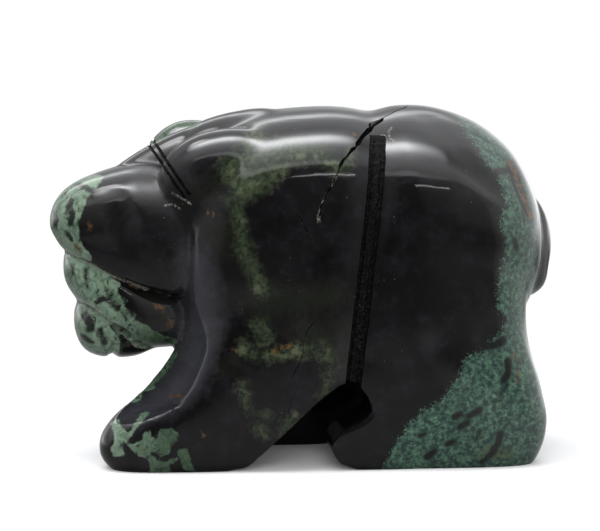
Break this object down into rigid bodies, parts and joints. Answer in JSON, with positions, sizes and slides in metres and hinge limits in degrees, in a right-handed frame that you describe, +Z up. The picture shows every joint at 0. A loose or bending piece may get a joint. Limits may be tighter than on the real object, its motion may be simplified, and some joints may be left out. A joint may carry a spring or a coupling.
{
  "type": "carved bear figurine",
  "caption": "Small walking bear carved and polished from one piece of dark green mottled stone, with sawn channels across its flanks and a low slung head.",
  "frame": {"origin": "middle of the carving's outline, on the plane its feet stand on", "axes": "+Z up; the bear faces -X, so its left side, with the foreleg that steps forward, is towards -Y"},
  "size_m": [0.0498, 0.024, 0.0346],
  "materials": {
    "stone": "gloss"
  },
  "bodies": {
    "root": {"bear": "stone"}
  },
  "joints": []
}
